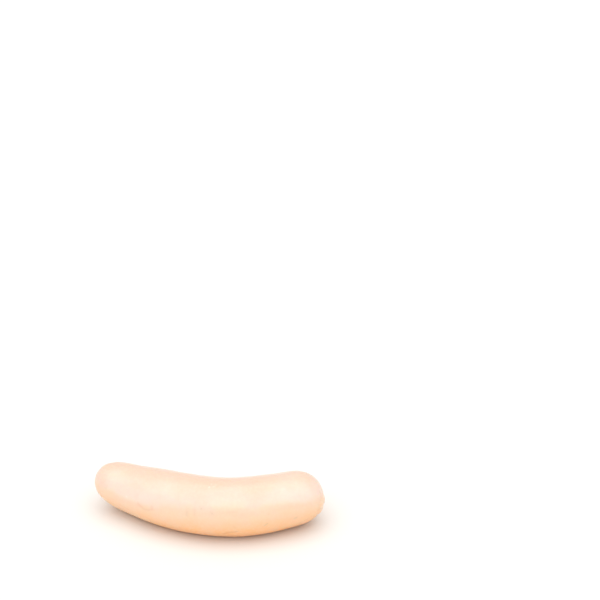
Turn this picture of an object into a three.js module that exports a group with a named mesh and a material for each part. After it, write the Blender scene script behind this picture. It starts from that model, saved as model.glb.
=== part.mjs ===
// A pale cooked sausage lying on its belly: one plump, gently bent link in its thin skin.
// Millimetres, +Z up. The ends lie along X, the hollow side of the bend faces +Y, and the
// origin is on the surface that it rests on, under the middle of its box.
import * as THREE from 'three';

// The centre line seen from above, in mm and degrees
const END_TO_END = 120.5;
const BEND_AT_THIN_END = 25.3;
const BEND_AT_BLUNT_END = 33.3;
// How far the bend reaches in from each end, as a share of the length
const REACH_OF_THIN_END = 0.485;
const REACH_OF_BLUNT_END = 0.458;

// Thickness at even stations from the thin end to the blunt one
const THICKNESS = [23.6, 30.0, 32.5, 32.0, 29.4];
// The soft filling sags: height over width, and the depth of the flat worn by resting
const SAG = 0.96;
const RESTING_FLAT = 1.1;
// Rise of the centre line for each mm that it runs back towards the hollow side
const BACKWARD_RISE = 0.12;

// The two ends: length of the rounding and how square it is, and how far the end curls out of
// the bend and up
const THIN_END = { length: 16.4, squareness: 2.73, outward: 4.5, upward: 5.2 };
const BLUNT_END = { length: 16.4, squareness: 2.39, outward: 1.0, upward: 0.34 };
// The curl reaches over the rounding and a bit more
const CURL_REACH = 1.6;

// The tied skin at each end: a puckered knob in a shallow groove, with pleats around it.
// Its place is in shares of the half thickness, out of the bend and up from the end's middle.
const THIN_TIE = {
  across: -0.42,
  above: 0.1,
  knob: 3.4,
  rise: 0.9,
  groove: 4.5,
  pleats: 9,
  pleat: 0.17,
  twist: 0.16,
  phase: 0.6,
};
const BLUNT_TIE = {
  across: 0.55,
  above: -0.235,
  knob: 5.5,
  rise: 0.45,
  groove: 6.5,
  pleats: 11,
  pleat: 0.1,
  twist: -0.12,
  phase: 0.2,
};
const KNOB_SHARPNESS = 6;
const DIMPLE = { radius: 1.5, depth: 0.8 };
const GROOVE = { width: 1.2, depth: 0.3 };
const PLEATS = { start: 2, reach: 7.8, sharpness: 4 };
// How uneven the spacing and length of the pleats and the edge of the knob are, as shares
const UNEVEN = { spacing: 0.3, length: 0.16, edge: 0.09 };
// Depth of the point, behind the knob, that the skin is pushed away from
const HEART_DEPTH = 11;

// Gentle swells of the skin, with half waves along the length and whole waves around
const SWELLS = [
  { height: 0.22, along: 3.1, around: 1, phase: 0.4 },
  { height: 0.16, along: 5.3, around: 2, phase: 2.1 },
  { height: 0.1, along: 8.7, around: 3, phase: 4.0 },
];

// Fineness of the mesh, and of the curves that it follows
const SIDES = 64;
const RINGS = 64;
const END_CROWDING = 0.75;
const CAP_SAMPLES = 60;
const BODY_SAMPLES = 120;
const LINE_SAMPLES = 400;

const UP = new THREE.Vector3(0, 0, 1);
// Step, as a share of the half thickness, for finding which way the skin faces
const STEP = 0.02;

// Flat curve from the thin end to the blunt one, bulging towards -Y
function makeCentreLine() {
  const thinSlope = THREE.MathUtils.degToRad(BEND_AT_THIN_END);
  const bluntSlope = THREE.MathUtils.degToRad(BEND_AT_BLUNT_END);
  const thinPull = REACH_OF_THIN_END * END_TO_END;
  const bluntPull = REACH_OF_BLUNT_END * END_TO_END;
  const start = new THREE.Vector3(-END_TO_END / 2, 0, 0);
  const end = new THREE.Vector3(END_TO_END / 2, 0, 0);
  const leave = new THREE.Vector3(Math.cos(thinSlope), -Math.sin(thinSlope), 0);
  const arrive = new THREE.Vector3(-Math.cos(bluntSlope), -Math.sin(bluntSlope), 0);
  return new THREE.CubicBezierCurve3(
    start,
    start.clone().addScaledVector(leave, thinPull),
    end.clone().addScaledVector(arrive, bluntPull),
    end,
  );
}

const centreLine = makeCentreLine();
centreLine.arcLengthDivisions = LINE_SAMPLES;
const LENGTH = centreLine.getLength();
const furthestOut = Math.min(...centreLine.getPoints(LINE_SAMPLES).map((point) => point.y));

// Half thickness at a share of the length, before the ends are rounded off
const thicknessCurve = new THREE.SplineCurve(
  THICKNESS.map((thickness, index) => new THREE.Vector2(index / (THICKNESS.length - 1), thickness)),
);

function halfThickness(along) {
  const share = THREE.MathUtils.clamp(along / LENGTH, 0, 1);
  return thicknessCurve.getPoint(share).y / 2;
}

// Rounding of one end: distance in from the tip and share of the full thickness there
function capPoint(end, turn) {
  const power = 2 / end.squareness;
  return {
    inset: end.length * (1 - Math.cos(turn) ** power),
    share: Math.sin(turn) ** power,
  };
}

// The same share of the full thickness, from the distance in from the tip, and back again
function capShare(end, inset) {
  const left = THREE.MathUtils.clamp(1 - inset / end.length, 0, 1);
  return (1 - left ** end.squareness) ** (1 / end.squareness);
}

function capInset(end, share) {
  return end.length * (1 - (1 - share ** end.squareness) ** (1 / end.squareness));
}

// Outline from tip to tip as radius against distance along the centre line
function makeOutline() {
  const points = [];
  for (let i = 0; i <= CAP_SAMPLES; i += 1) {
    const { inset, share } = capPoint(THIN_END, (i / CAP_SAMPLES) * (Math.PI / 2));
    points.push(new THREE.Vector2(halfThickness(inset) * share, inset));
  }
  const bodyLength = LENGTH - THIN_END.length - BLUNT_END.length;
  for (let i = 1; i < BODY_SAMPLES; i += 1) {
    const along = THIN_END.length + (i / BODY_SAMPLES) * bodyLength;
    points.push(new THREE.Vector2(halfThickness(along), along));
  }
  for (let i = CAP_SAMPLES; i >= 0; i -= 1) {
    const { inset, share } = capPoint(BLUNT_END, (i / CAP_SAMPLES) * (Math.PI / 2));
    const along = LENGTH - inset;
    points.push(new THREE.Vector2(halfThickness(along) * share, along));
  }
  return new THREE.Path(points);
}

// Rings of the mesh, crowded towards the tips where the skin is puckered
function makeProfile() {
  const outline = makeOutline();
  const profile = [];
  for (let i = 0; i <= RINGS; i += 1) {
    const even = i / RINGS;
    const crowded = even - (END_CROWDING * Math.sin(2 * Math.PI * even)) / (2 * Math.PI);
    profile.push(outline.getPoint(crowded));
  }
  profile[0].set(0, 0);
  profile[RINGS].set(0, LENGTH);
  return profile;
}

// Place and axes of the section at a distance along the centre line
function sectionAt(along) {
  const share = THREE.MathUtils.clamp(along / LENGTH, 0, 1);
  const centre = centreLine.getPointAt(share);
  const outward = centreLine.getTangentAt(share).cross(UP).normalize();
  centre.z = SAG * halfThickness(along) - RESTING_FLAT;
  centre.z += BACKWARD_RISE * (centre.y - furthestOut);
  for (const [end, inset] of [[THIN_END, along], [BLUNT_END, LENGTH - along]]) {
    const amount = THREE.MathUtils.clamp(1 - inset / (CURL_REACH * end.length), 0, 1) ** 2;
    centre.addScaledVector(outward, amount * end.outward);
    centre.z += amount * end.upward;
  }
  return { centre, outward };
}

// Height of the swells of the skin, fading out towards the tips
function swellHeight(along, around) {
  const share = along / LENGTH;
  let height = 0;
  for (const swell of SWELLS) {
    const lengthwise = Math.sin(swell.along * Math.PI * share + swell.phase);
    height += swell.height * lengthwise * Math.cos(swell.around * around + swell.phase);
  }
  return height * Math.sin(Math.PI * THREE.MathUtils.clamp(share, 0, 1));
}

// Point of the skin before the ends are tied
function bodyPoint({ along, radius, around }) {
  const { centre, outward } = sectionAt(along);
  const swollen = radius * (1 + swellHeight(along, around) / halfThickness(along));
  centre.addScaledVector(outward, swollen * Math.cos(around));
  return centre.addScaledVector(UP, SAG * swollen * Math.sin(around));
}

// Place on one end, from its shares of the half thickness out of the bend and up
function endPlace(end, across, above) {
  const share = Math.min(Math.hypot(across, above), 1);
  const inset = capInset(end, share);
  const along = end === THIN_END ? inset : LENGTH - inset;
  return { along, radius: share * halfThickness(along), around: Math.atan2(above, across) };
}

// Slides a ring point at one end along the same form, so that the rings close at the knob
function gatherRing(place, end, tie, inset) {
  if (inset >= end.length) return place;
  const share = capShare(end, inset);
  const across = share * Math.cos(place.around) + (1 - share) * tie.across;
  const above = share * Math.sin(place.around) + (1 - share) * tie.above;
  return endPlace(end, across, above);
}

// Angle around the knob, crowded in places so that the pleats are unevenly spaced
function unevenAngle(angle, phase) {
  const crowding = Math.sin(2 * angle + phase) / 2 + Math.sin(3 * angle - phase) / 3;
  return angle + UNEVEN.spacing * crowding;
}

// Height of the tied skin at a distance and an angle around the middle of the knob
function tieHeight(tie, distance, angle) {
  const edge = distance * (1 + UNEVEN.edge * Math.sin(unevenAngle(2 * angle, 2 * tie.phase)));
  const knob = tie.rise / (1 + (edge / tie.knob) ** KNOB_SHARPNESS);
  const dimple = DIMPLE.depth * Math.exp(-((distance / DIMPLE.radius) ** 2));
  const groove = GROOVE.depth * Math.exp(-(((edge - tie.groove) / GROOVE.width) ** 2));
  const rising = Math.min(distance / PLEATS.start, 1);
  const reach = PLEATS.reach * (1 + UNEVEN.length * Math.sin(3 * angle + tie.phase));
  const fading = Math.exp(-((distance / reach) ** PLEATS.sharpness));
  const turn = tie.pleats * unevenAngle(angle, tie.phase) + tie.twist * distance;
  const wave = Math.cos(turn + tie.phase);
  return knob - dimple - groove + tie.pleat * rising * fading * wave;
}

function makeTie(end, tie) {
  const middle = bodyPoint(endPlace(end, tie.across, tie.above));
  const beside = bodyPoint(endPlace(end, tie.across + STEP, tie.above)).sub(middle);
  const over = bodyPoint(endPlace(end, tie.across, tie.above + STEP)).sub(middle);
  const aim = beside.cross(over).normalize();
  if (aim.dot(middle) < 0) aim.negate();
  const sideways = UP.clone().cross(aim).normalize();
  const upwards = aim.clone().cross(sideways);
  const heart = middle.clone().addScaledVector(aim, -HEART_DEPTH);
  return { ...tie, aim, sideways, upwards, heart };
}

// Pushes a point of the skin in or out, as seen from the heart of the tied end
function puckerSkin(point, tie) {
  const outward = point.clone().sub(tie.heart);
  const depth = outward.dot(tie.aim);
  if (depth <= 0) return;
  const across = outward.clone().addScaledVector(tie.aim, -depth);
  const angle = Math.atan2(across.dot(tie.upwards), across.dot(tie.sideways));
  point.addScaledVector(outward.normalize(), tieHeight(tie, across.length(), angle));
}

function makeSkin() {
  const geometry = new THREE.LatheGeometry(makeProfile(), SIDES);
  const position = geometry.attributes.position;
  const ties = [makeTie(THIN_END, THIN_TIE), makeTie(BLUNT_END, BLUNT_TIE)];
  for (let i = 0; i < position.count; i += 1) {
    const along = position.getY(i);
    const across = position.getX(i);
    const above = position.getZ(i);
    const radius = Math.hypot(across, above);
    // At a tip the lathe makes many copies of one point, so they share one angle
    const around = radius > 0 ? Math.atan2(above, across) : 0;
    let place = { along, radius, around };
    place = gatherRing(place, THIN_END, THIN_TIE, along);
    place = gatherRing(place, BLUNT_END, BLUNT_TIE, LENGTH - place.along);
    const point = bodyPoint(place);
    for (const tie of ties) puckerSkin(point, tie);
    position.setXYZ(i, point.x, point.y, Math.max(point.z, 0));
  }
  return geometry;
}

// Moves the origin under the middle of the box
function centreOnBox(geometry) {
  geometry.computeBoundingBox();
  const middle = geometry.boundingBox.getCenter(new THREE.Vector3());
  geometry.translate(-middle.x, -middle.y, -geometry.boundingBox.min.z);
  geometry.computeVertexNormals();
  return geometry;
}

const skin = new THREE.MeshStandardMaterial({ color: 0xf4d2b4, roughness: 0.42, metalness: 0 });

const sausage = new THREE.Mesh(centreOnBox(makeSkin()), skin);
sausage.name = 'sausage';

const object = new THREE.Group();
object.add(sausage);

export default object;
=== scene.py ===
# A pale cooked sausage in its moist skin, on a plain pale floor in soft studio light.
# The fine skin is made from the same named sizes as the solid that it stands for.
import math

import bpy
import numpy as np
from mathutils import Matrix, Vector


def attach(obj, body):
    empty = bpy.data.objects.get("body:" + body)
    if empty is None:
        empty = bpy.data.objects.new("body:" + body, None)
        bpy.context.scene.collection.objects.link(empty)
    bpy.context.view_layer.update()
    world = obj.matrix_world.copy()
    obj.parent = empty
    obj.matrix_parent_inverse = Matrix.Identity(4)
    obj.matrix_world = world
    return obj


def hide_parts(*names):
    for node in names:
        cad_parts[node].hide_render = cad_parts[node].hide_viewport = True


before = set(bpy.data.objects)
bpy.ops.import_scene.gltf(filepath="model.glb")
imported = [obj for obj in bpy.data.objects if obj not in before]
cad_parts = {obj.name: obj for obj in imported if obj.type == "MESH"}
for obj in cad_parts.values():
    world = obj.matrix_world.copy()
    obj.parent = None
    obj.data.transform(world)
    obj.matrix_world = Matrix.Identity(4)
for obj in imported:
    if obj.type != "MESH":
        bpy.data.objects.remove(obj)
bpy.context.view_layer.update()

MM = 0.001
UP = np.array((0.0, 0.0, 1.0))

# The centre line seen from above, in mm and degrees. The reaches are shares of END_TO_END.
END_TO_END = 120.5
BEND_AT_THIN_END = 25.3
BEND_AT_BLUNT_END = 33.3
REACH_OF_THIN_END = 0.485
REACH_OF_BLUNT_END = 0.458

# Thickness at even stations from the thin end to the blunt one, in mm. SAG is the height as a
# share of the width, RESTING_FLAT what the belly loses where it rests, and BACKWARD_RISE how
# much higher the centre line lies for each mm towards the hollow side.
THICKNESS = (23.6, 30.0, 32.5, 32.0, 29.4)
SAG = 0.96
RESTING_FLAT = 1.1
BACKWARD_RISE = 0.12

# The rounding of each end, and how far it curls out of the bend and up, in mm. The curl starts
# at CURL_REACH lengths of the rounding from the tip.
THIN_END = {"length": 16.4, "squareness": 2.73, "outward": 4.5, "upward": 5.2}
BLUNT_END = {"length": 16.4, "squareness": 2.39, "outward": 1.0, "upward": 0.34}
CURL_REACH = 1.6

# The tied skin at each end: a puckered knob in a shallow groove, with pleats around it.
# Its place is in shares of the half thickness, out of the bend and up from the end's middle.
# Knob and groove are radii, rise and pleat are heights, all in mm. Twist is radians per mm.
THIN_TIE = {"across": -0.42, "above": 0.1, "knob": 3.4, "rise": 0.9, "groove": 4.5,
            "pleats": 9, "pleat": 0.17, "twist": 0.16, "phase": 0.6}
BLUNT_TIE = {"across": 0.55, "above": -0.235, "knob": 5.5, "rise": 0.45, "groove": 6.5,
             "pleats": 11, "pleat": 0.1, "twist": -0.12, "phase": 0.2}
KNOB_SHARPNESS = 6
DIMPLE = {"radius": 1.5, "depth": 0.8}
GROOVE = {"width": 1.2, "depth": 0.3}
PLEATS = {"start": 2.0, "reach": 7.8, "sharpness": 4}

# Narrow creases of the gathered skin, which only the looks need
CREASES = {"per_pleat": 2.4, "start": 1.2, "reach": 9.5, "sharpness": 3, "narrowness": 4,
           "depth": 0.16}

# How much the pleats' spacing varies, in radians, and their length and the knob's edge, as shares
UNEVEN = {"spacing": 0.3, "length": 0.16, "edge": 0.09}

# The knob's skin is pushed away from a point this deep in the end, in mm. The way that it faces
# is found over this step, as a share of the half thickness.
HEART_DEPTH = 11.0
FACING_STEP = 0.02

# Gentle swells: height in mm, half waves along the sausage, waves around it, and a phase
SWELLS = (
    {"height": 0.22, "along": 3.1, "around": 1, "phase": 0.4},
    {"height": 0.16, "along": 5.3, "around": 2, "phase": 2.1},
    {"height": 0.1, "along": 8.7, "around": 3, "phase": 4.0},
)

# Fine lumps of the filling, and lengthwise wrinkles that fade out away from the ties: height
# in mm, waves around, half waves along, and a phase. Both fade in from the tips.
LUMPS = ((0.03, 5, 11, 0.3), (0.025, 9, -17, 1.9), (0.02, 14, 23, 4.4))
WRINKLES = ((0.022, 23, 1.5, 0.8), (0.018, 31, -2.5, 2.6), (0.014, 44, 3.5, 5.1))
WRINKLE_REACH = 17.0
TIP_FADE = 4.0

# Small marks of the skin: herb flecks that show through it, shallow creases that are darkened with
# painted shade, and beads of moisture that carry a painted glint.
# Each follows a path of places, as a share of the length and degrees up from the outer side.
# Widths are in mm, and so is the rise of a mark of full strength.
MARKS = (
    {"kind": "fleck", "width": 0.6, "strength": 0.42, "path": ((0.511, 29.5),)},
    {"kind": "fleck", "width": 0.9, "strength": 0.21, "path": ((0.462, 21), (0.462, 13))},
    {"kind": "fleck", "width": 0.8, "strength": 0.17, "path": ((0.489, 26), (0.489, 16))},
    {"kind": "fleck", "width": 0.5, "strength": 0.25, "path": ((0.545, 25), (0.553, 20))},
    {"kind": "fleck", "width": 0.5, "strength": 0.16, "path": ((0.604, 24.5), (0.632, 25.5))},
    {"kind": "fleck", "width": 0.45, "strength": 0.35, "path": ((0.726, -10), (0.737, -5.5))},
    {"kind": "fleck", "width": 0.6, "strength": 0.3, "path": ((0.84, -7.5), (0.848, -6.5))},
    {"kind": "fleck", "width": 0.5, "strength": 0.2, "path": ((0.742, 14),)},
    {"kind": "fleck", "width": 0.9, "strength": 0.16, "path": ((0.092, 24), (0.088, 20))},
    {"kind": "fleck", "width": 0.4, "strength": 0.25, "path": ((0.021, 10),)},
    {"kind": "fleck", "width": 0.7, "strength": 0.14, "path": ((0.62, -5), (0.628, -9))},
    {"kind": "crease_and_painted_shade", "width": 0.55, "strength": 0.34,
     "path": ((0.587, -30.5), (0.597, -25.5), (0.612, -23.5), (0.632, -20.5))},
    {"kind": "crease_and_painted_shade", "width": 0.4, "strength": 0.26,
     "path": ((0.584, -27.5), (0.6, -22), (0.614, -21))},
    {"kind": "crease_and_painted_shade", "width": 0.8, "strength": 0.16,
     "path": ((0.256, 12), (0.272, 6.5), (0.288, 2.8), (0.306, 4.2), (0.323, 8.5), (0.32, 14))},
    {"kind": "crease_and_painted_shade", "width": 0.45, "strength": 0.14,
     "path": ((0.158, -11), (0.18, -13), (0.206, -14))},
    {"kind": "crease_and_painted_shade", "width": 0.4, "strength": 0.2,
     "path": ((0.866, -29), (0.884, -24), (0.9, -21))},
    {"kind": "crease_and_painted_shade", "width": 0.4, "strength": 0.16,
     "path": ((0.962, 38), (0.967, 30), (0.965, 19))},
    {"kind": "bead_and_painted_glint", "width": 0.45, "strength": 0.45, "path": ((0.527, 74.5),)},
    {"kind": "bead_and_painted_glint", "width": 0.4, "strength": 0.3, "path": ((0.533, 83),)},
    {"kind": "bead_and_painted_glint", "width": 0.35, "strength": 0.35, "path": ((0.545, 76.5),)},
    {"kind": "bead_and_painted_glint", "width": 0.4, "strength": 0.25, "path": ((0.552, 81),)},
    {"kind": "bead_and_painted_glint", "width": 0.6, "strength": 0.3, "path": ((0.196, 18.3),)},
)
MARK_RISE = {"fleck": 0.02, "crease_and_painted_shade": -0.13, "bead_and_painted_glint": 0.1}

# The back and belly carry marks scattered at random, a little denser than those above: how
# many of each kind, how many steps the path of each has, and the ranges that they are drawn from
HIDDEN_MARKS = {"fleck": 26, "crease_and_painted_shade": 9, "bead_and_painted_glint": 7}
HIDDEN_STEPS = {"fleck": 1, "crease_and_painted_shade": 3, "bead_and_painted_glint": 0}
HIDDEN_SHARES = (0.06, 0.94)
HIDDEN_DEGREES = (100.0, 310.0)
STEP_SHARES = (0.003, 0.014)
STEP_DEGREES = (-5.0, 5.0)
HIDDEN_WIDTHS = (0.45, 0.85)
HIDDEN_STRENGTHS = (0.12, 0.34)
SCATTER_SEED = 11

# The colour follows a level: the height above the centre line as a share of the half thickness, so
# that the painted light and shade follow it too. The painted light is paler at some places along
# the length and warmer at others: as a shift of its level all round, as its lowest level, which
# holds back the painted orange of the belly, and as a share of a paler colour, a painted highlight,
# above the outer side.
LEVEL_SHIFTS = (
    (0.0, 0.14), (0.08, 0.17), (0.2, 0.17), (0.35, 0.09), (0.5, -0.03), (0.6, -0.1),
    (0.75, -0.05), (0.9, 0.03), (1.0, 0.06),
)
LOWEST_LEVELS = (
    (0.0, -0.2), (0.09, -0.33), (0.6, -1.0), (0.82, -1.0), (0.92, -0.45), (1.0, -0.1),
)
PAINTED_HIGHLIGHT_SHARES = (
    (0.0, 0.0), (0.06, 0.05), (0.11, 0.38), (0.24, 0.45), (0.36, 0.3), (0.5, 0.0), (0.7, 0.0),
    (0.88, 0.42), (1.0, 0.15),
)

# On the inner side of the bend the lowest level comes up to this one, which weakens the painted
# orange of the belly there, between two shares of the half width, counted outward from the middle.
# The painted highlight's paler colour ends this share inward of it.
INNER_LOWEST_LEVEL = -0.28
INNER_SIDE = (0.35, -0.45)
PALE_PAST_MIDDLE = 0.5

# Colours of the skin as the shader takes them, from the belly up to the back by level. They are the
# skin's own peach tone with painted light and shade: the strong orange low on the belly paints the
# warm glow and shade that a wooden board would give there, and the top levels are painted darker to
# offset the light from above.
SKIN_TONE_AND_PAINTED_LIGHT = (
    (-0.95, (0.96, 0.51, 0.23, 1.0)),
    (-0.62, (0.97, 0.47, 0.165, 1.0)),
    (-0.38, (0.97, 0.54, 0.255, 1.0)),
    (-0.17, (0.95, 0.575, 0.32, 1.0)),
    (0.0, (0.92, 0.6, 0.38, 1.0)),
    (0.15, (0.9, 0.62, 0.42, 1.0)),
    (0.3, (0.89, 0.62, 0.445, 1.0)),
    (0.45, (0.86, 0.63, 0.475, 1.0)),
    (0.58, (0.83, 0.61, 0.495, 1.0)),
    (0.72, (0.805, 0.575, 0.46, 1.0)),
    (0.92, (0.77, 0.545, 0.41, 1.0)),
)
# The painted highlight's colour, the skin's own pink blush, a pale colour for its grain that also
# paints highlights on the tied ridges, and the folds' painted shade
PAINTED_HIGHLIGHT_COLOUR = (0.9, 0.76, 0.69, 1.0)
PINK = (0.93, 0.57, 0.43, 1.0)
PALE = (0.92, 0.74, 0.6, 1.0)
PAINTED_FOLD_SHADE = (0.6, 0.37, 0.22, 1.0)
# The marks' colours: the flecks' own olive, the painted shade of the creases and the painted glint
# of the beads
MARK_COLOURS = {
    "fleck": (0.5, 0.43, 0.3, 1.0),
    "crease_and_painted_shade": (0.6, 0.27, 0.12, 1.0),
    "bead_and_painted_glint": (0.95, 0.88, 0.8, 1.0),
}

# The levels between which the palest colour of the painted highlight comes in, and between which it
# goes out above
PALEST_ENTERS = (0.3, 0.55)
PALEST_LEAVES = (1.25, 0.75)

# Soft patterns, with noise of a size in mm: what each gives from one value of it to another.
# Clouds shift the level, blush and grain are shares of pink and pale, and gloss is roughness,
# which a bead of full strength changes by BEAD_GLOSS.
CLOUDS = {"size": 16.0, "detail": 3.0, "span": (0.3, 0.7), "gives": (-0.1, 0.1)}
BLUSH = {"size": 8.0, "detail": 2.0, "span": (0.45, 0.75), "gives": (0.0, 0.2)}
GRAIN = {"size": 1.6, "detail": 3.0, "roughness": 0.6, "span": (0.35, 0.75), "gives": (0.0, 0.16)}
GLOSS = {"size": 7.0, "detail": 3.0, "span": (0.3, 0.7), "gives": (0.32, 0.42)}
BEAD_GLOSS = -0.2

# Shares of the pale colour on the tied skin's ridges, partly the thin casing's own paleness and
# partly a painted highlight, and of the painted shade in its folds, from one height in mm to
# another
RIDGES = {"span": (0.05, 0.4), "gives": (0.0, 0.35)}
FOLDS = {"span": (-0.1, -0.6), "gives": (0.0, 0.55)}

# Bumps that are left to the shader: noise of two sizes, the fine one's share, and their depth
# in mm
FINE_BUMPS = {"size": 0.5, "detail": 2.0}
COARSE_BUMPS = {"size": 3.2, "detail": 3.0}
FINE_SHARE = 0.25
BUMP_STRENGTH = 0.15
BUMP_DEPTH = 0.12

# Light that soaks into the flesh, and the moist film on the skin
MOIST_FLESH = {
    "Subsurface Weight": 0.2,
    "Subsurface Radius": (1.0, 0.45, 0.25),
    "Subsurface Scale": 3.0 * MM,
    "Coat Weight": 0.6,
    "Coat Roughness": 0.22,
}

# The floor: half its width in metres, and how far below the sausage it lies, in mm
FLOOR_REACH = 6.0
FLOOR_DROP = 0.1
FLOOR_COLOUR = (0.8, 0.78, 0.76, 1.0)
FLOOR_ROUGHNESS = 0.8

# Studio light: one broad overhead source, with its spread in degrees, and the even light of a
# white room
OVERHEAD_SIDE = (0.0, -0.2, 1.0)
OVERHEAD_SPREAD = 90.0
OVERHEAD_STRENGTH = 2.2
OVERHEAD_COLOUR = (1.0, 0.98, 0.95)
ROOM_STRENGTH = 0.7
ROOM_COLOUR = (1.0, 1.0, 1.0, 1.0)

# The photograph's viewpoint: place in metres, degrees below level and to the left of +Y
CAMERA_PLACE = (0.1266, -0.5858, 0.4186)
CAMERA_TILT = 25.4
CAMERA_TURN = 7.34
CAMERA_LENS = 78.5
CAMERA_NEAREST = 0.01

# Fineness of the mesh, and of the curves that it follows. The crowding, from 0 to 1, brings the
# rings closer together towards the tips.
SIDES = 256
RINGS = 360
END_CROWDING = 0.75
CAP_SAMPLES = 600
BODY_SAMPLES = 1200
LINE_SAMPLES = 2000


class CentreLine:
    """Flat curve from the thin end to the blunt one, bulging towards -Y."""

    def __init__(self):
        thin = math.radians(BEND_AT_THIN_END)
        blunt = math.radians(BEND_AT_BLUNT_END)
        thin_pull = REACH_OF_THIN_END * END_TO_END
        blunt_pull = REACH_OF_BLUNT_END * END_TO_END
        start = np.array((-END_TO_END / 2, 0.0))
        end = np.array((END_TO_END / 2, 0.0))
        leave = start + thin_pull * np.array((math.cos(thin), -math.sin(thin)))
        arrive = end + blunt_pull * np.array((-math.cos(blunt), -math.sin(blunt)))
        t = np.linspace(0.0, 1.0, LINE_SAMPLES + 1)[:, None]
        s = 1.0 - t
        self.points = s**3 * start + 3 * s**2 * t * leave + 3 * s * t**2 * arrive + t**3 * end
        tangents = s**2 * (leave - start) + 2 * s * t * (arrive - leave) + t**2 * (end - arrive)
        self.tangents = tangents / np.linalg.norm(tangents, axis=1)[:, None]
        steps = np.linalg.norm(np.diff(self.points, axis=0), axis=1)
        self.distances = np.concatenate(([0.0], np.cumsum(steps)))
        self.length = self.distances[-1]
        self.furthest_out = self.points[:, 1].min()

    def at(self, along):
        """Points on the line, and the flat direction out of the bend there."""
        x = np.interp(along, self.distances, self.points[:, 0])
        y = np.interp(along, self.distances, self.points[:, 1])
        tangent_x = np.interp(along, self.distances, self.tangents[:, 0])
        tangent_y = np.interp(along, self.distances, self.tangents[:, 1])
        flat = np.zeros_like(x)
        return np.stack((x, y, flat), -1), np.stack((tangent_y, -tangent_x, flat), -1)


LINE = CentreLine()


def smooth_step(value, start, end):
    """Goes from 0 at the start to 1 at the end, level at both."""
    t = np.clip((value - start) / (end - start), 0.0, 1.0)
    return t * t * (3 - 2 * t)


def lengthwise(table, along):
    """Smooth curve through a table of shares of the length and values."""
    share = along / LINE.length
    places = [place for place, _ in table]
    after = np.searchsorted(places, share).clip(1, len(places) - 1)
    left, right = (np.array(table)[after - side] for side in (1, 0))
    step = smooth_step(share, left[..., 0], right[..., 0])
    return left[..., 1] + (right[..., 1] - left[..., 1]) * step


def half_thickness(along):
    """Smooth curve through the thickness stations, before the ends are rounded off."""
    stations = np.array(THICKNESS)
    last = len(stations) - 1
    place = np.clip(along / LINE.length, 0.0, 1.0) * last
    left = np.minimum(np.floor(place).astype(int), last - 1)
    t = place - left
    p0 = stations[np.maximum(left - 1, 0)]
    p1 = stations[left]
    p2 = stations[left + 1]
    p3 = stations[np.minimum(left + 2, last)]
    slope_1 = (p2 - p0) / 2
    slope_2 = (p3 - p1) / 2
    cubic = (2 * p1 - 2 * p2 + slope_1 + slope_2) * t**3
    square = (-3 * p1 + 3 * p2 - 2 * slope_1 - slope_2) * t**2
    return (cubic + square + slope_1 * t + p1) / 2


def cap_points(end):
    """Rounding of one end: distances in from the tip and shares of the thickness."""
    power = 2.0 / end["squareness"]
    turn = np.linspace(0.0, math.pi / 2, CAP_SAMPLES + 1)
    inset = end["length"] * (1.0 - np.cos(turn).clip(0.0) ** power)
    return inset, np.sin(turn) ** power


def cap_share(end, inset):
    """Share of the thickness at a distance in from the tip."""
    left = np.clip(1.0 - inset / end["length"], 0.0, 1.0)
    return (1.0 - left ** end["squareness"]) ** (1.0 / end["squareness"])


def cap_inset(end, share):
    """Distance in from the tip at a share of the thickness."""
    left = (1.0 - share ** end["squareness"]) ** (1.0 / end["squareness"])
    return end["length"] * (1.0 - left)


def ring_profile():
    """Distance along the line and radius of each ring, crowded towards the tips."""
    thin_inset, thin_share = cap_points(THIN_END)
    blunt_inset, blunt_share = cap_points(BLUNT_END)
    body = np.linspace(thin_inset[-1], LINE.length - blunt_inset[-1], BODY_SAMPLES + 1)[1:-1]
    along = np.concatenate((thin_inset, body, LINE.length - blunt_inset[::-1]))
    share = np.concatenate((thin_share, np.ones_like(body), blunt_share[::-1]))
    radius = half_thickness(along) * share
    steps = np.hypot(np.diff(along), np.diff(radius))
    travelled = np.concatenate(([0.0], np.cumsum(steps)))
    even = np.linspace(0.0, 1.0, RINGS + 1)
    crowded = even - END_CROWDING * np.sin(2 * math.pi * even) / (2 * math.pi)
    wanted = crowded * travelled[-1]
    return np.interp(wanted, travelled, along), np.interp(wanted, travelled, radius)


def sections(along):
    """Centre of the section at each distance, and its direction out of the bend."""
    centre, outward = LINE.at(along)
    centre[..., 2] = SAG * half_thickness(along) - RESTING_FLAT
    centre[..., 2] += BACKWARD_RISE * (centre[..., 1] - LINE.furthest_out)
    for end, inset in ((THIN_END, along), (BLUNT_END, LINE.length - along)):
        amount = np.clip(1.0 - inset / (CURL_REACH * end["length"]), 0.0, 1.0) ** 2
        centre = centre + (amount * end["outward"])[..., None] * outward
        centre[..., 2] += amount * end["upward"]
    return centre, outward


def swell_height(along, around):
    """Height in mm of the gentle swells, which fade out at the tips."""
    share = along / LINE.length
    height = 0.0
    for swell in SWELLS:
        wave = swell["height"] * np.sin(swell["along"] * math.pi * share + swell["phase"])
        height = height + wave * np.cos(swell["around"] * around + swell["phase"])
    return height * np.sin(math.pi * np.clip(share, 0.0, 1.0))


def body_points(along, radius, around):
    """Points of the skin before the ends are tied."""
    centre, outward = sections(along)
    swollen = radius * (1.0 + swell_height(along, around) / half_thickness(along))
    points = centre + (swollen * np.cos(around))[..., None] * outward
    points[..., 2] += SAG * swollen * np.sin(around)
    return points


def uneven_angle(angle, phase):
    """Angle around the knob, crowded in places so that the pleats are unevenly spaced."""
    crowding = np.sin(2 * angle + phase) / 2 + np.sin(3 * angle - phase) / 3
    return angle + UNEVEN["spacing"] * crowding


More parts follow.
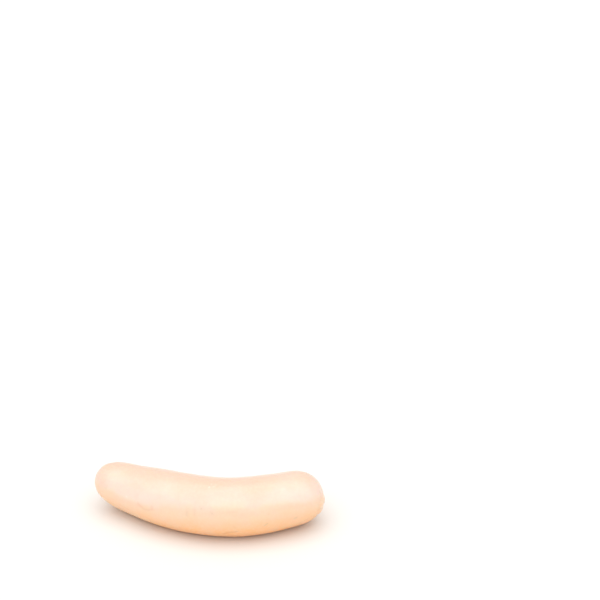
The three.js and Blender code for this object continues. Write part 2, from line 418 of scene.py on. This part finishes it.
def pleat_fade(pleats, distance, angle, phase):
    """How strongly pleats or creases show, as they rise from the knob and run out."""
    rising = np.minimum(distance / pleats["start"], 1.0)
    reach = pleats["reach"] * (1.0 + UNEVEN["length"] * np.sin(3 * angle + phase))
    return rising * np.exp(-((distance / reach) ** pleats["sharpness"]))


def crease_depth(tie, distance, angle):
    """Depth of the narrow creases. Their phases set them apart from the pleats."""
    number = round(CREASES["per_pleat"] * tie["pleats"])
    across = np.abs(np.sin(number / 2 * uneven_angle(angle, 2.0 - tie["phase"])))
    narrow = (1.0 - across) ** CREASES["narrowness"]
    return narrow * CREASES["depth"] * pleat_fade(CREASES, distance, angle, 1.0 + 2 * tie["phase"])


def tie_height(tie, distance, angle):
    """Height of the tied skin at a distance and an angle around the middle of the knob."""
    edge = distance * (1.0 + UNEVEN["edge"] * np.sin(uneven_angle(2 * angle, 2 * tie["phase"])))
    knob = tie["rise"] / (1.0 + (edge / tie["knob"]) ** KNOB_SHARPNESS)
    dimple = DIMPLE["depth"] * np.exp(-((distance / DIMPLE["radius"]) ** 2))
    groove = GROOVE["depth"] * np.exp(-(((edge - tie["groove"]) / GROOVE["width"]) ** 2))
    turn = tie["pleats"] * uneven_angle(angle, tie["phase"]) + tie["twist"] * distance
    pleats = tie["pleat"] * pleat_fade(PLEATS, distance, angle, tie["phase"])
    pleats = pleats * np.cos(turn + tie["phase"])
    return knob - dimple - groove + pleats - crease_depth(tie, distance, angle)


def end_place(end, across, above):
    """Distance along, radius and angle of a point of one end, from its shares."""
    share = np.minimum(np.hypot(across, above), 1.0)
    inset = cap_inset(end, share)
    along = inset if end is THIN_END else LINE.length - inset
    return along, share * half_thickness(along), np.arctan2(above, across)


def make_tie(end, tie):
    """The knob's heart, the way that it faces and two directions across it."""
    middle, beside, over = (
        body_points(*end_place(end, np.array(tie["across"] + step), np.array(tie["above"] + rise)))
        for step, rise in ((0.0, 0.0), (FACING_STEP, 0.0), (0.0, FACING_STEP))
    )
    aim = np.cross(beside - middle, over - middle)
    aim *= np.sign(aim @ middle) / np.linalg.norm(aim)
    sideways = np.cross(UP, aim)
    sideways /= np.linalg.norm(sideways)
    return {**tie, "aim": aim, "sideways": sideways, "upwards": np.cross(aim, sideways),
            "heart": middle - HEART_DEPTH * aim}


def pucker(points, tie):
    """Pushes the skin in or out, as seen from the heart of the tied end."""
    outward = points - tie["heart"]
    depth = outward @ tie["aim"]
    across = outward - depth[..., None] * tie["aim"]
    distance = np.linalg.norm(across, axis=-1)
    angle = np.arctan2(across @ tie["upwards"], across @ tie["sideways"])
    height = np.where(depth > 0, tie_height(tie, distance, angle), 0.0)
    direction = outward / np.linalg.norm(outward, axis=-1)[..., None]
    return points + height[..., None] * direction, height


def gather_rings(along, radius, around):
    """Slides the rings at each end along the same form, so that they close at the knob."""
    for end, tie, tip in ((THIN_END, THIN_TIE, 0.0), (BLUNT_END, BLUNT_TIE, LINE.length)):
        inset = np.abs(along - tip)
        share = cap_share(end, inset)
        across = share * np.cos(around) + (1.0 - share) * tie["across"]
        above = share * np.sin(around) + (1.0 - share) * tie["above"]
        slid = end_place(end, across, above)
        rounded = inset < end["length"]
        along, radius, around = (
            np.where(rounded, new, old) for new, old in zip(slid, (along, radius, around))
        )
    return along, radius, around


def hidden_marks():
    """Marks of each kind at random places of the back and belly, the same each time."""
    draw = np.random.default_rng(SCATTER_SEED)
    for kind, count in HIDDEN_MARKS.items():
        for _ in range(count):
            share, degrees = draw.uniform(*HIDDEN_SHARES), draw.uniform(*HIDDEN_DEGREES)
            path = [(share, degrees)]
            for _ in range(HIDDEN_STEPS[kind]):
                share += draw.uniform(*STEP_SHARES)
                degrees += draw.uniform(*STEP_DEGREES)
                path.append((share, degrees))
            yield {"kind": kind, "width": draw.uniform(*HIDDEN_WIDTHS),
                   "strength": draw.uniform(*HIDDEN_STRENGTHS), "path": path}


def mark_places(path):
    """Points of a mark's path on the skin, in mm."""
    share, degrees = np.array(path).T
    along = share * LINE.length
    rounding = cap_share(THIN_END, along) * cap_share(BLUNT_END, LINE.length - along)
    return body_points(along, half_thickness(along) * rounding, np.radians(degrees))


def path_distance(points, path):
    """Distance in mm from each point to the nearest place of a path."""
    nearest = np.linalg.norm(points - path[0], axis=-1)
    for start, end in zip(path[:-1], path[1:]):
        step = end - start
        t = np.clip((points - start) @ step / (step @ step), 0.0, 1.0)
        nearest = np.minimum(nearest, np.linalg.norm(points - start - t[..., None] * step, axis=-1))
    return nearest


def make_marks(points):
    """How strongly each kind of mark shows at each point."""
    shown = {kind: np.zeros(points.shape[:-1]) for kind in MARK_RISE}
    for mark in (*MARKS, *hidden_marks()):
        distance = path_distance(points, mark_places(mark["path"]))
        strength = mark["strength"] * np.exp(-((distance / mark["width"]) ** 2))
        shown[mark["kind"]] = np.maximum(shown[mark["kind"]], strength)
    return shown


def waves(table, along, around):
    """Height in mm of all the waves of a table together."""
    turn = 2 * math.pi * along / LINE.length
    return sum(
        height * np.cos(sides * around + phase) * np.cos(halves / 2 * turn + 2 * phase + around)
        for height, sides, halves, phase in table
    )


def fine_relief(along, around, marks):
    """Height in mm of lumps, wrinkles and marks."""
    inset = np.minimum(along, LINE.length - along)
    wrinkled = np.exp(-((inset / WRINKLE_REACH) ** 2))
    fade = np.clip(inset / TIP_FADE, 0.0, 1.0)
    height = fade * (waves(LUMPS, along, around) + wrinkled * waves(WRINKLES, along, around))
    return height + sum(rise * marks[kind] for kind, rise in MARK_RISE.items())


def skin_level(along, radius, around):
    """The level that the skin's colour and its painted light and shade follow."""
    level = radius * np.sin(around) / half_thickness(along) + lengthwise(LEVEL_SHIFTS, along)
    lowest = lengthwise(LOWEST_LEVELS, along)
    inner = smooth_step(np.cos(around), *INNER_SIDE)
    return np.maximum(level, lowest + inner * np.maximum(INNER_LOWEST_LEVEL - lowest, 0.0))


def skin_points(along, radius, around):
    """Points of the skin in mm, with what its colour and gloss follow."""
    along, radius, around = gather_rings(along, radius, around)
    points = body_points(along, radius, around)
    tied = np.zeros_like(along)
    for end, tie in ((THIN_END, THIN_TIE), (BLUNT_END, BLUNT_TIE)):
        points, height = pucker(points, make_tie(end, tie))
        tied = tied + height
    marks = make_marks(points)
    outward = points - sections(along)[0]
    outward /= np.linalg.norm(outward, axis=-1)[..., None]
    points = points + fine_relief(along, around, marks)[..., None] * outward
    points[..., 2] = np.maximum(points[..., 2], 0.0)
    level = skin_level(along, radius, around)
    # The share of the painted highlight at each point, by place along the length and on the outer
    # side
    painted_highlight = lengthwise(PAINTED_HIGHLIGHT_SHARES, along) * np.clip(PALE_PAST_MIDDLE + np.cos(around), 0.0, 1.0)
    return points, {"tied": tied, "level": level, "painted_highlight": painted_highlight, **marks}


def skin_arrays():
    """Rings of points with one point at each tip, centred on their box, in metres."""
    along, radius = ring_profile()
    around = np.linspace(0.0, 2 * math.pi, SIDES, endpoint=False)
    grid = np.broadcast_arrays(along[1:-1, None], radius[1:-1, None], around[None, :])
    rings, ring_values = skin_points(*grid)
    tips, tip_values = skin_points(along[[0, -1]], np.zeros(2), np.zeros(2))
    points = np.concatenate((tips[:1], rings.reshape(-1, 3), tips[1:]))
    values = {
        name: np.concatenate((tip_values[name][:1], on_rings.ravel(), tip_values[name][1:]))
        for name, on_rings in ring_values.items()
    }
    middle = (points.min(axis=0) + points.max(axis=0)) / 2
    middle[2] = points[:, 2].min()
    return (points - middle) * MM, values


def skin_faces():
    """Quads between the rings and a fan of triangles at each tip, facing outward."""
    ring_count = RINGS - 1
    last = 1 + ring_count * SIDES
    faces = []
    for side in range(SIDES):
        following = (side + 1) % SIDES
        faces.append((0, 1 + side, 1 + following))
        for ring in range(ring_count - 1):
            first = 1 + ring * SIDES
            after = first + SIDES
            faces.append((first + side, after + side, after + following, first + following))
        first = 1 + (ring_count - 1) * SIDES
        faces.append((first + following, first + side, last))
    return faces


def make_skin():
    points, values = skin_arrays()
    mesh = bpy.data.meshes.new("sausage_skin")
    mesh.from_pydata(points.tolist(), [], skin_faces())
    mesh.polygons.foreach_set("use_smooth", [True] * len(mesh.polygons))
    for name, numbers in values.items():
        layer = mesh.attributes.new(name, "FLOAT", "POINT")
        layer.data.foreach_set("value", numbers.astype(np.float32))
    mesh.validate()
    mesh.update()
    mesh.materials.append(make_skin_material())
    skin = bpy.data.objects.new("sausage_skin", mesh)
    bpy.context.scene.collection.objects.link(skin)
    return skin


class Nodes:
    """Short ways to add and join the nodes of one material."""

    def __init__(self, name):
        self.material = bpy.data.materials.new(name)
        self.material.use_nodes = True
        self.tree = self.material.node_tree
        self.shader = self.tree.nodes["Principled BSDF"]
        self.place = self.add("ShaderNodeTexCoord").outputs["Object"]

    def add(self, kind, **settings):
        node = self.tree.nodes.new(kind)
        for key, value in settings.items():
            setattr(node, key, value)
        return node

    def put(self, value, socket):
        """Links a node's output to a socket, or sets the socket to a plain value."""
        if isinstance(value, bpy.types.NodeSocket):
            self.tree.links.new(value, socket)
        else:
            socket.default_value = value

    def noise(self, size, detail, roughness=0.5):
        """Noise whose features are about size millimetres across."""
        node = self.add("ShaderNodeTexNoise")
        self.put(self.place, node.inputs["Vector"])
        self.put(1.0 / (size * MM), node.inputs["Scale"])
        self.put(detail, node.inputs["Detail"])
        self.put(roughness, node.inputs["Roughness"])
        return node.outputs[0]

    def ramp(self, value, span, gives=(0.0, 1.0), kind="SMOOTHSTEP"):
        """Gives one number where the value is at the span's start, and another at its end."""
        node = self.add("ShaderNodeMapRange", interpolation_type=kind)
        for number, item in enumerate((value, *span, *gives)):
            self.put(item, node.inputs[number])
        return node.outputs[0]

    def pattern(self, span, gives, **noise):
        """Noise of the given kind, through a ramp."""
        return self.ramp(self.noise(**noise), span, gives)

    def scale(self, value, stops):
        """Colours that follow a value through a row of stops."""
        low, high = stops[0][0], stops[-1][0]
        node = self.add("ShaderNodeValToRGB")
        self.put(self.ramp(value, (low, high), kind="LINEAR"), node.inputs[0])
        points = node.color_ramp.elements
        points[0].color, points[1].color = stops[0][1], stops[-1][1]
        for place, colour in stops[1:-1]:
            points.new((place - low) / (high - low)).color = colour
        return node.outputs[0]

    def math(self, operation, first, second):
        node = self.add("ShaderNodeMath", operation=operation)
        self.put(first, node.inputs[0])
        self.put(second, node.inputs[1])
        return node.outputs[0]

    def mix(self, amount, first, second):
        """Mixes two colours, whose sockets are 6 and 7, with the result at 2."""
        node = self.add("ShaderNodeMix", data_type="RGBA")
        self.put(amount, node.inputs[0])
        self.put(first, node.inputs[6])
        self.put(second, node.inputs[7])
        return node.outputs[2]

    def attribute(self, name):
        return self.add("ShaderNodeAttribute", attribute_name=name).outputs["Fac"]


def make_skin_material():
    nodes = Nodes("cooked_skin")
    level = nodes.math("ADD", nodes.attribute("level"), nodes.pattern(**CLOUDS))
    # The skin's own tone with painted light and shade, by level
    colour = nodes.scale(level, SKIN_TONE_AND_PAINTED_LIGHT)
    # A painted highlight: the palest colour in an upper band of levels on the outer side
    entered, not_left = nodes.ramp(level, PALEST_ENTERS), nodes.ramp(level, PALEST_LEAVES)
    upper = nodes.math("MINIMUM", entered, not_left)
    colour = nodes.mix(nodes.math("MULTIPLY", upper, nodes.attribute("painted_highlight")), colour, PAINTED_HIGHLIGHT_COLOUR)
    colour = nodes.mix(nodes.pattern(**BLUSH), colour, PINK)
    colour = nodes.mix(nodes.pattern(**GRAIN), colour, PALE)
    # The tied skin's ridges: partly the casing's own paleness, partly a painted highlight
    colour = nodes.mix(nodes.ramp(nodes.attribute("tied"), **RIDGES), colour, PALE)
    # Painted shade in the tied skin's folds
    colour = nodes.mix(nodes.ramp(nodes.attribute("tied"), **FOLDS), colour, PAINTED_FOLD_SHADE)
    # Mark colours: the flecks' own, painted shade in the creases and a painted glint on the beads
    for kind, shade in MARK_COLOURS.items():
        colour = nodes.mix(nodes.attribute(kind), colour, shade)
    nodes.put(colour, nodes.shader.inputs["Base Color"])

    beads = nodes.math("MULTIPLY", nodes.attribute("bead_and_painted_glint"), BEAD_GLOSS)
    roughness = nodes.math("ADD", nodes.pattern(**GLOSS), beads)
    nodes.put(roughness, nodes.shader.inputs["Roughness"])

    fine = nodes.math("MULTIPLY", nodes.noise(**FINE_BUMPS), FINE_SHARE)
    bump = nodes.add("ShaderNodeBump")
    nodes.put(BUMP_STRENGTH, bump.inputs["Strength"])
    nodes.put(BUMP_DEPTH * MM, bump.inputs["Distance"])
    nodes.put(nodes.math("ADD", fine, nodes.noise(**COARSE_BUMPS)), bump.inputs["Height"])
    nodes.put(bump.outputs[0], nodes.shader.inputs["Normal"])

    for name, value in MOIST_FLESH.items():
        nodes.put(value, nodes.shader.inputs[name])
    return nodes.material


def make_floor():
    reach, height = FLOOR_REACH, -FLOOR_DROP * MM
    corners = [(x * reach, y * reach, height) for x, y in ((-1, -1), (1, -1), (1, 1), (-1, 1))]
    mesh = bpy.data.meshes.new("floor")
    mesh.from_pydata(corners, [], [(0, 1, 2, 3)])
    floor = bpy.data.objects.new("floor", mesh)
    bpy.context.scene.collection.objects.link(floor)
    material = bpy.data.materials.new("floor")
    material.use_nodes = True
    shader = material.node_tree.nodes["Principled BSDF"]
    shader.inputs["Base Color"].default_value = FLOOR_COLOUR
    shader.inputs["Roughness"].default_value = FLOOR_ROUGHNESS
    mesh.materials.append(material)


def make_lights():
    data = bpy.data.lights.new("overhead", "SUN")
    data.energy = OVERHEAD_STRENGTH
    data.angle = math.radians(OVERHEAD_SPREAD)
    data.color = OVERHEAD_COLOUR
    light = bpy.data.objects.new("overhead", data)
    light.rotation_euler = Vector(OVERHEAD_SIDE).to_track_quat("Z", "Y").to_euler()
    bpy.context.scene.collection.objects.link(light)
    world = bpy.data.worlds.new("studio")
    world.use_nodes = True
    background = world.node_tree.nodes["Background"]
    background.inputs["Color"].default_value = ROOM_COLOUR
    background.inputs["Strength"].default_value = ROOM_STRENGTH
    bpy.context.scene.world = world


def make_camera():
    data = bpy.data.cameras.new("camera")
    data.lens = CAMERA_LENS
    data.clip_start = CAMERA_NEAREST
    camera = bpy.data.objects.new("camera", data)
    camera.location = CAMERA_PLACE
    camera.rotation_euler = (math.radians(90 - CAMERA_TILT), 0.0, math.radians(CAMERA_TURN))
    bpy.context.scene.collection.objects.link(camera)
    bpy.context.scene.camera = camera


skin = make_skin()
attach(skin, "root")
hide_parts("sausage")

make_floor()
make_lights()
make_camera()
bpy.context.scene.view_settings.view_transform = "Standard"
